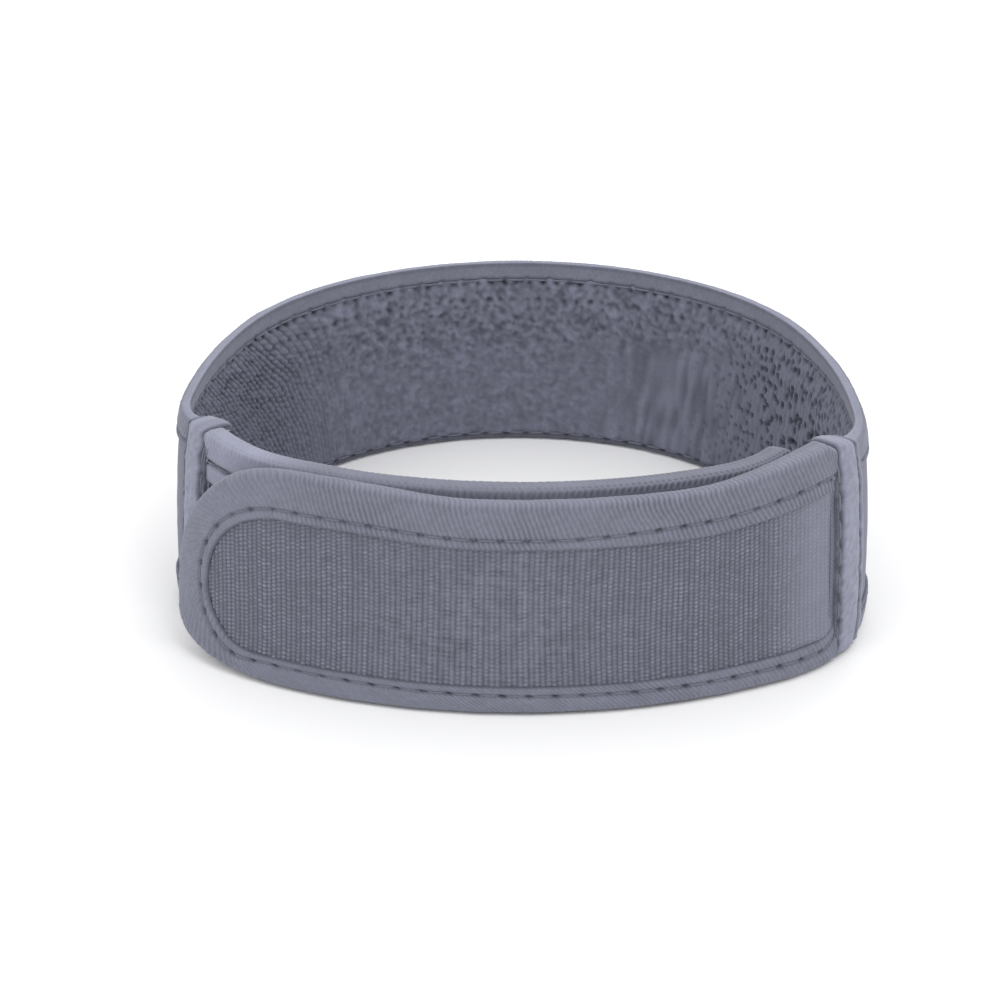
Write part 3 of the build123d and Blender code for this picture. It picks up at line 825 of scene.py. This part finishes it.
def make_hook_tape():
    """Hook tape inside the tab: a woven ground with rows of small hooks."""
    coarse = 2
    bottom, top, left = 2.2, 19.6, 4.0
    columns, rows = steps(TAB_END - left, 0.45, coarse), steps(top - bottom, 0.45, coarse)
    s, z = tab_grid(left, bottom, top, columns, rows, 9.8, 9.8, 5.0, 3)[:2]
    rough = 0.04 * noise(s / 0.5, z / 0.5, 51)
    ground = place(TAB, s, z, TAB_INNER + 0.12 + rough)
    over = place(TAB, s, z, TAB_FACE_INNER - 0.03)
    tape = slab("tab_hook_ground", ground, over, HOOKS, (s, z), 0.3, coarse)
    finish_tab(tape, "tab_hook_tape")

    pitch_s, pitch_z = 1.25, 1.2
    tallest, thickness = 0.62, 0.09
    columns, rows = int((TAB_END - 10) / pitch_s), int(14.0 / pitch_z)
    column, row = (grid.ravel() for grid in np.meshgrid(np.arange(columns), np.arange(rows)))
    foot_s = 8.0 + (column + 0.5 * (row % 2)) * pitch_s
    foot_z = 4.2 + row * pitch_z
    keep = (foot_s > 7.0 + fallback(foot_z, 10, 9.0, 5.5, 3)) & (foot_s < TAB_END - 1)
    foot_s, foot_z = foot_s[keep][:, None], foot_z[keep][:, None]
    way = np.where(row[keep] % 2 == 0, 1, -1)[:, None]
    bend = np.linspace(0, 1, 7)[None]
    curl = way * 0.28 * np.sin(np.pi * np.clip(bend * 1.25 - 0.25, 0, 1)) * bend
    rise = tallest * np.sin(np.pi * 0.62 * bend)
    line = place(TAB, foot_s + curl + 0.35 * way * bend**3, foot_z, TAB_INNER - rise)
    side = place(TAB, foot_s + 0 * bend, foot_z + 1, TAB_INNER) - place(
        TAB, foot_s + 0 * bend, foot_z, TAB_INNER)
    hooks = tubes("tab_hooks", line, side, thickness * (1 - 0.35 * bend[0]), HOOKS, sides=5)
    finish_tab(hooks, "tab_hook_tape")


# ------------ the under-strap

UNDER_START = -3.0
UNDER_BEND = 14.0
UNDER_COUNTS = (440, 36, 100, 36, 440)
UNDER_TUCK = 1.8


def from_tip(curve):
    """Turns a curve measured from a free end into distances along the under-strap."""
    return np.column_stack([UNDER_LENGTH - curve[:, 0], curve[:, 1]])


UNDER_EDGE = from_tip(bound_end(
    0, 0.3, UNDER_TOP, (4, 4), (3.2, 2.6), UNDER_LENGTH - UNDER_START, UNDER_COUNTS))
UNDER_MARGIN = from_tip(bound_end(
    3.2, 3.5, UNDER_TOP - 4.0, (2.0, 2.0), (2.0, 2.0), UNDER_LENGTH - UNDER_START, UNDER_COUNTS))

# Beside the left seam the upper binding is wider
UNDER_HEM = 1.6 * (1 - smooth(UNDER_MARGIN[:, 0], 4, 12)) * (UNDER_MARGIN[:, 1] > MIDDLE)
UNDER_MARGIN[:, 1] -= UNDER_HEM
UNDER_INSET = 0.9 + UNDER_HEM


def mesh_dots(s, z):
    """Small staggered holes, as in spacer mesh."""
    pitch = 0.62
    row = z / (pitch * 0.8)
    near = np.round(row)
    across = np.mod(s / pitch + 0.5 * np.mod(near, 2), 1.0) - 0.5
    return np.exp(-((across * pitch) ** 2 + ((row - near) * pitch * 0.8) ** 2) / 0.18**2)


def under_tape_relief():
    """Smooth by the left seam, slant-ribbed along the middle, and fine mesh towards the free
    end, which is half way round the binding. Painted shade lies between the ribs, in the
    mesh dots and along the stitches by the left seam, where the rest of the tape is painted
    paler."""
    ribbed = sewn_tape(rib=0.82, slant=-0.6, height=0.14, inside=1, puff=0.05, seed=60)

    def relief(along, inward, row, pitch, across):
        proud, painted_shade = ribbed(along, inward, row, pitch, across)
        away = np.abs(along - along[-1] / 2)
        ends = 1 - smooth(away, 24, 40)
        start = smooth(away, 58, 68)
        ribs = (1 - ends) * (1 - 0.85 * start)
        low = smooth(-across, 1.0, 2.0)
        dots = mesh_dots(along, across + 40)
        depth = dots * (ends + 0.35 * (1 - ends))
        stitches = bell(inward, row, 0.28)
        proud = proud * ribs * (0.3 + 0.7 * low) - 0.16 * depth - 0.3 * stitches * start
        # Painted shade between the ribs, in the mesh dots and along the stitches near the left
        # seam, where pale makes the rest of the tape paler
        painted_shade = painted_shade * ribs * (0.2 + 0.8 * low) + depth + 0.9 * stitches * start
        pale = 0.75 * start * (1 - stitches)
        return proud, np.clip(painted_shade, 0, 1) - pale
    return relief


def under_grid(bottom, top, step, coarse):
    """Distances and heights of a grid of points inside the under-strap's binding."""
    columns = steps(UNDER_LENGTH - UNDER_START, step, coarse)
    z = np.linspace(bottom, top, steps(top - bottom, step, coarse))[None]
    tip = UNDER_LENGTH - UNDER_TUCK - fallback(z, MIDDLE, 9.5, 2.5, 6)
    return UNDER_START + np.linspace(0, 1, columns)[:, None] * (tip - UNDER_START), z


def make_under_strap():
    coarse = 4
    bottom, top = UNDER_TUCK, UNDER_TOP - 1.5
    s, z = under_grid(bottom, top, 0.25, coarse)
    tufts = noise(s / 0.55, z / 0.55, 61) + 0.6 * noise(s / 0.3, z / 0.3, 62)
    # The pile gets painted shade between its tufts
    pile = slab("under_loop_pile", place(UNDER, s, z, -0.1 + 0.13 * tufts),
                place(UNDER, s, z, UNDER_LOOP_INNER), LOOPS, (s, z),
                np.clip(0.5 - 0.5 * tufts, 0, 1), coarse)
    finish_under(pile, "under_strap_loop_tape")

    coarse = 6
    s, z = under_grid(bottom, top, 0.14, coarse)
    dots = mesh_dots(s, z)
    quilt = 0.12 * smooth(np.minimum(z - 3.4, UNDER_TOP - 3.3 - z), 0, 3)
    # The mesh gets painted shade in its holes
    mesh = slab("under_mesh", place(UNDER, s, z, UNDER_INNER - quilt + 0.12 * dots),
                place(UNDER, s, z, UNDER_LOOP_INNER - 0.03), MESH_BACKING, (s, z), dots,
                coarse)
    finish_under(mesh, "under_strap_backing")

    bound = fold_tape("under_bound_edge", UNDER, UNDER_EDGE, UNDER_MARGIN, UNDER_MARGIN,
                      (0, UNDER_INNER), BINDING, under_tape_relief(), UNDER_INSET, fine=0.16)
    finish_under(bound, "under_strap_binding")
    row = stitch_line(UNDER_EDGE, UNDER_MARGIN, UNDER_INSET)
    seam = stitch_row("under_stitches", UNDER,
                      [(row, TAPE - 0.1, 1), (row, UNDER_INNER - TAPE + 0.1, -1)])
    finish_under(seam, "under_strap_stitching")


def finish_under(piece, node):
    """Bakes the piece's transform and hides the CAD part that it replaces. The under-strap's
    path itself follows the band at the left seam and turns away from it.
    """
    start = place(UNDER, 0, MIDDLE, 0) * MM
    end = place(UNDER, UNDER_BEND, MIDDLE, 0) * MM
    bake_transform(piece)
    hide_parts(node)


# ------------ the band

BAND_START = -0.5
BAND_END = BAND_LENGTH - 1.5


def finish_band(piece, node):
    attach(piece, "band")
    if node:
        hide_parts(node)


def lining_relief(s, z):
    """Coarse knit. On the left its loops run in slanting rows with painted shade in the gaps
    between them, in the middle it is soft and cloudy, with painted shade in its dips and a
    painted highlight on its crests, and on the right it has small open holes filled with
    painted shade. Two rows of sunk dashes near the top carry painted shade too."""
    left = smooth(s, 98, 122)
    right = 1 - smooth(s, 38, 64)
    middle = (1 - left) * (1 - right)
    slope = 0.9 * left - 0.25 * right
    u = s - slope * (z - MIDDLE)

    phase = u / 0.85 - 0.0035 * np.maximum(u - 110, 0) ** 2 + 0.4 * noise(u / 3, z / 3, 71)
    row = np.round(phase).astype(int)
    rows = crest(phase)
    loops = crest(z / 0.8 + 0.5 * np.mod(row, 2) + 0.35 * lattice(row, row * 0, 72)
                  + 0.25 * noise(u / 2, z / 2, 73))
    knots = noise(u / 0.7, z / 0.6, 74)
    rope = rows * (0.25 + 0.75 * loops) + 0.25 * knots

    cloud = 0.55 * noise(u / 0.65, z / 0.6, 76) + 0.45 * noise(u / 0.42, z / 0.42, 77)
    streaks = bump(s, 56, 22) * (1 - smooth(z, 11, 17))
    cloud = cloud * (1 - streaks) + streaks * 1.1 * noise(u / 0.8 + z / 6, z / 2.8, 78)
    upper = 0.5 + 0.5 * smooth(z, 8, 17)
    dashes = np.exp(-(((np.mod(s / 1.6 + 0.25 * np.round(z / 1.9), 1) - 0.5) * 1.6) / 0.42) ** 2)
    dashes = dashes * np.maximum(bell(z, 19.6, 0.25), 0.7 * bell(z, 17.7, 0.28))

    near, pick = cells(u / 0.95 + 31, z / 1.25, 81)
    open_part = bump(s, 34, 20) * bump(z, 12, 12)
    hole = 1 - smooth(near, 0.14 + 0.12 * open_part, 0.30 + 0.14 * open_part)
    hole = hole * (pick > 0.35) * (0.55 + 0.75 * open_part)
    veins = crest(u / 0.9 + 0.5 * noise(s / 3, z / 3, 83))

    proud = left * 0.5 * (rope - 0.5) + middle * upper * 0.28 * cloud
    proud = proud + right * (0.07 * veins + 0.12 * cloud - 0.75 * hole) - 0.3 * dashes
    # Painted shade in the gaps between rows, in the cloud's dips, in the holes, between the veins
    # and in the dashes
    painted_shade = 0.85 * left * smooth(0.66 - rope, 0, 0.6)
    painted_shade = painted_shade + middle * upper * smooth(-cloud, -0.4, 0.9) * 0.75
    painted_shade = painted_shade + right * np.maximum(hole, 0.2 * (1 - veins) + 0.25 * smooth(-cloud, 0, 0.6))
    painted_shade = painted_shade + 0.8 * dashes
    # pale is a painted highlight on the cloud's crests
    pale = 0.3 * middle * smooth(cloud, 0.15, 0.8)
    return proud, np.clip(painted_shade, 0, 1.25) - pale


def rim_shade_and_highlight(relief):
    """Adds painted shade in a fine, slightly sunk crease along the fold's inner corner, and a
    painted highlight along the fold itself.
    """
    def with_crease(along, inward, row, pitch, across):
        proud, painted_shade = relief(along, inward, row, pitch, across)
        # The crease gets painted shade; pale is a painted highlight on the fold
        crease = bell(across, 1.25, 0.14)
        pale = 0.6 * (1 - smooth(np.abs(across), 0.9, 1.2))
        return proud - 0.05 * crease, np.clip(painted_shade + 0.5 * crease, 0, 1) - pale
    return with_crease


def band_grid(low, high, step, coarse):
    """Distances and heights of a grid of points over the back band."""
    columns = steps(BAND_END - BAND_START, step, coarse)
    rows = steps(high - low, step, coarse)
    return (np.linspace(BAND_START, BAND_END, columns)[:, None],
            np.linspace(low, high, rows)[None])


def make_band():
    low, high = 0.45, 20.9
    coarse = 5
    s, z = band_grid(low, high, 0.19, coarse)
    proud, painted_shade = lining_relief(s, z)
    tucked = 1 - smooth(z, low, 0.9) * (1 - smooth(z, 19.8, 20.4))
    lining = slab("back_lining_knit", place(BAND, s, z, BAND_INNER - proud * (1 - tucked)
                                            + 0.35 * tucked - 0.1),
                  place(BAND, s, z, SHELL_INNER - 0.02), LINING, (s, z), painted_shade, coarse)
    finish_band(lining, "back_lining")

    coarse = 4
    s, z = band_grid(low, high, 0.35, coarse)
    wavy = 0.05 * noise(s / 5, z / 5, 101) + 0.02 * noise(s / 1.2, z / 1.2, 102)
    shell = slab("back_shell_cloth", place(BAND, s, z, wavy - 0.04),
                 place(BAND, s, z, SHELL_INNER), SHELL, (s, z), 0.0, coarse)
    finish_band(shell, "back_shell")
    make_band_bindings()
    make_seam("right", 0.1, 5.3, (0.45, 4.15))
    make_seam("left", BAND_LENGTH - 6.3, BAND_LENGTH - 1.9,
              (BAND_LENGTH - 5.7, BAND_LENGTH - 2.3))


def make_band_bindings():
    """Bindings along the top and the bottom. Each is wider outside than inside, and its
    stitches stop short of the seams."""
    outside, trim = 3.2, 30
    outer_inset, inner_inset = 0.8, 0.1
    count = 900
    s = np.linspace(BAND_START, BAND_END, count)
    top = np.column_stack([s, np.full(count, BAND_TOP)])
    bottom = np.column_stack([s, np.full(count, LOWEST)])
    for side, edge, up, inside in (("top", top, -1, 2.0), ("bottom", bottom, 1, 0.5)):
        front = edge + [0, up * outside]
        back = edge + [0, up * inside]
        relief = rim_shade_and_highlight(sewn_tape(rib=0.6, slant=-0.3, height=0.04, puff=0.05, inside=0.04,
                                  seed=110 + up))
        tape = fold_tape(f"band_{side}_binding", BAND, edge, front, back, (0, BAND_INNER),
                         BINDING, relief, outer_inset, fine=0.16, nose=0.4,
                         back_inset=inner_inset)
        finish_band(tape, f"back_{side}_binding")
        rows = [
            (front[trim:-trim] - [0, up * outer_inset], TAPE - 0.12, 1),
            (back[trim:-trim] + [0, up * inner_inset], BAND_INNER - TAPE + 0.25, -1),
        ]
        finish_band(stitch_row(f"band_{side}_stitches", BAND, rows),
                    f"back_{side}_stitching")


def make_seam(side, start, end, rows):
    """An upright tape from start to end, folded over the top of the band, with stitches in
    two upright rows."""
    count = steps(end - start, 0.12, 4)
    s = np.linspace(start, end, count)
    edge = np.column_stack([s, np.full(count, SEAM_TOP)])
    foot = np.column_stack([s, np.full(count, LOWEST)])

    def relief(along, inward, row, pitch, across):
        at = s[:, None] + 0.10 * noise(along, inward / 1.2, 121)
        line = sum(bell(at, upright, 0.24) for upright in rows)
        pull = 0.5 - 0.5 * np.cos(2 * np.pi * inward / STITCH_PITCH)
        brim = 1 - smooth(np.minimum(at - start, end - at), 0, 0.45)
        grain = noise(at / 0.5 + inward / 1.1, inward / 0.5, 120)
        puff = 0.14 * np.sin(np.pi * np.clip((at - rows[0]) / (rows[1] - rows[0]), 0, 1))
        proud = puff + 0.04 * grain - 0.42 * line * (1.05 - 0.3 * pull) * (1 - 0.6 * brim)
        proud = proud - 0.4 * brim
        # Painted shade along the stitch rows and on the sunk brims, with random tone from the grain
        painted_shade = 0.3 * (0.5 + 0.5 * grain) + 0.95 * line * (1 - 0.3 * pull) + 0.45 * brim
        return proud, np.clip(painted_shade, 0, 1)

    tape = fold_tape(f"{side}_seam_cloth", BAND, edge, foot, foot,
                     (TAPE, BAND_INNER - TAPE), SEAM_CLOTH, relief, 1.0, tape=SEAM_TAPE,
                     nose=0.8)
    finish_band(tape, f"{side}_seam_tape")
    columns, sunk = [], 0.36
    for upright in rows:
        line = np.column_stack([np.full(60, upright), np.linspace(1.0, SEAM_TOP - 1.6, 60)])
        columns.append((line, TAPE + SEAM_TAPE - sunk, 1))
        columns.append((line, BAND_INNER - TAPE - SEAM_TAPE + sunk, -1))
    finish_band(stitch_row(f"{side}_seam_stitches", BAND, columns),
                f"{side}_seam_stitching")


# ------------ the ground snap

def make_patch():
    """A small woven patch, sewn down round its border."""
    low, high = (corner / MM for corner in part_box("snap_patch"))
    side, centre = high.z - low.z, (low.z + high.z) / 2
    pick, hem, thickness = 0.9, 1.2, 0.48
    middle = arc_length(BAND[0]) + arc_length(BAND[1]) + arc_length(BAND[2]) / 2
    count = steps(side, 0.12, 4)
    s = middle + np.linspace(-side / 2, side / 2, count)[:, None]
    z = centre + np.linspace(-side / 2, side / 2, count)[None]
    warp = np.cos(2 * np.pi * (s - middle) / pick)
    weft = np.cos(2 * np.pi * z / pick)
    over = np.sign(np.sin(np.pi * (s - middle) / pick) * np.sin(np.pi * z / pick))
    woven = 0.5 + 0.25 * (1 + over) * np.abs(warp) / 2 + 0.25 * (1 - over) * np.abs(weft) / 2
    inset = np.minimum(side / 2 - np.abs(s - middle), side / 2 - np.abs(z - centre))
    line = bell(inset, hem, 0.22)
    edge = 1 - smooth(inset, 0, 0.35)
    proud = thickness + 0.16 * (woven - 0.75) - 0.14 * line - 0.28 * edge
    # Painted shade where the weave is low and along the stitch line
    patch = slab("woven_patch", place(BAND, s, z, proud), place(BAND, s, z, 0.0), PATCH,
                 (s, z), np.clip(1.6 - 1.6 * woven + 0.5 * line, 0, 1), 4)
    finish_band(patch, "snap_patch")
    reach = side / 2 - hem
    corners = [(-reach, -reach), (reach, -reach), (reach, reach), (-reach, reach), (-reach, -reach)]
    rows = []
    for (s0, z0), (s1, z1) in zip(corners, corners[1:]):
        line = np.column_stack([
            middle + np.linspace(s0, s1, 20), centre + np.linspace(z0, z1, 20)
        ])
        rows.append((line, thickness, 1))
    finish_band(stitch_row("patch_stitches", BAND, rows), None)


def finish_metal():
    """The stud and its rivet cap keep their CAD shape."""
    for node in ("snap_stud", "snap_rivet_cap"):
        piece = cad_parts[node]
        piece.data.materials.clear()
        piece.data.materials.append(NICKEL)


# ------------ stage, lights and camera

def make_floor():
    bpy.ops.mesh.primitive_plane_add(size=6.0, location=(0, 0, -0.0002))
    floor = bpy.context.object
    floor.name = "floor"
    material, tree, shader = new_material("studio_floor")
    shader.inputs["Roughness"].default_value = 0.9
    shader.inputs["Specular IOR Level"].default_value = 0.0
    where = new_node(tree, "ShaderNodeTexCoord").outputs["Object"]
    pale = scaled(tree, speckle(tree, where, 3.0, 2.0), 0.01, 0.96)
    tint(tree, shader, (1, 1, 1), pale)
    floor.data.materials.append(material)


def put(name, data, location, aim):
    """Adds a light or a camera that looks along aim."""
    thing = bpy.data.objects.new(name, data)
    thing.location = location
    thing.rotation_mode = "QUATERNION"
    thing.rotation_quaternion = aim.to_track_quat("-Z", "Y")
    bpy.context.scene.collection.objects.link(thing)
    return thing


def make_light(name, location, size, power):
    """A square light that looks at the middle of the ring."""
    data = bpy.data.lights.new(name, "AREA")
    data.size = size
    data.energy = power
    put(name, data, location, Vector((0, 0, 0.011)) - Vector(location))


def make_studio():
    world = bpy.data.worlds.new("studio")
    world.use_nodes = True
    background = world.node_tree.nodes["Background"]
    background.inputs["Color"].default_value = (1, 1, 1, 1)
    background.inputs["Strength"].default_value = 1.0
    bpy.context.scene.world = world
    make_light("key", (0.22, -0.30, 0.55), 0.30, 0.85)
    make_light("fill", (-0.30, -0.25, 0.40), 0.30, 0.3)
    make_light("rim", (0.10, 0.50, 0.45), 0.40, 0.8)
    bpy.context.scene.view_settings.view_transform = "Standard"


CAMERA_HEIGHT_ANGLE = 25.0
CAMERA_DISTANCE = 0.300
LENS = 101.34
AIM_RIGHT, AIM_UP = -2.105 * MM, 0.906 * MM


def make_camera():
    """The camera looks along +Y, from above the front of the ring."""
    angle = math.radians(CAMERA_HEIGHT_ANGLE)
    back = Vector((0, -math.cos(angle), math.sin(angle)))
    up = Vector((0, math.sin(angle), math.cos(angle)))
    target = Vector((AIM_RIGHT, WIDEST_Y * MM, MIDDLE * MM)) + AIM_UP * up
    data = bpy.data.cameras.new("camera")
    data.lens = LENS
    data.sensor_width = 36.0
    data.clip_start = 0.01
    data.clip_end = 20.0
    bpy.context.scene.camera = put("camera", data, target + CAMERA_DISTANCE * back, -back)


make_camera()
make_studio()
make_floor()
make_band()
make_patch()
make_tab()
make_under_strap()
finish_metal()
